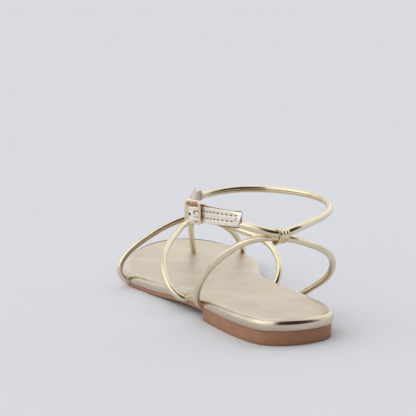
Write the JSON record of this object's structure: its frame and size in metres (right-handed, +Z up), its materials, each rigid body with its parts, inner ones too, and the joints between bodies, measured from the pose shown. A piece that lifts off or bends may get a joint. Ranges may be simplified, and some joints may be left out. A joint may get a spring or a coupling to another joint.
{
  "type": "flat strappy toe-post sandal",
  "caption": "Left flat sandal with round metallic leather straps, toe post, buckled ankle strap and low tan sole.",
  "frame": {"origin": "on the floor under the middle of the heel", "axes": "+Z up, +Y along the sandal towards the toe, +X towards the inner (medial) side of the left foot"},
  "size_m": [0.0992, 0.2476, 0.0711],
  "materials": {
    "gold_leather": "glossy metallic champagne gold",
    "gold_footbed": "satin metallic champagne gold",
    "tan_sole": "matte tan",
    "rose_gold_metal": "polished rose gold"
  },
  "bodies": {
    "root": {"unit_sole": "tan_sole", "footbed": "gold_footbed", "instep_straps": "gold_leather", "toe_post": "gold_leather", "heel_strap": "gold_leather", "heel_loop": "gold_leather", "ankle_strap": "gold_leather", "strap_tab": "gold_leather", "buckle_tab": "gold_leather", "buckle_frame": "rose_gold_metal", "buckle_pin": "rose_gold_metal"}
  },
  "joints": []
}
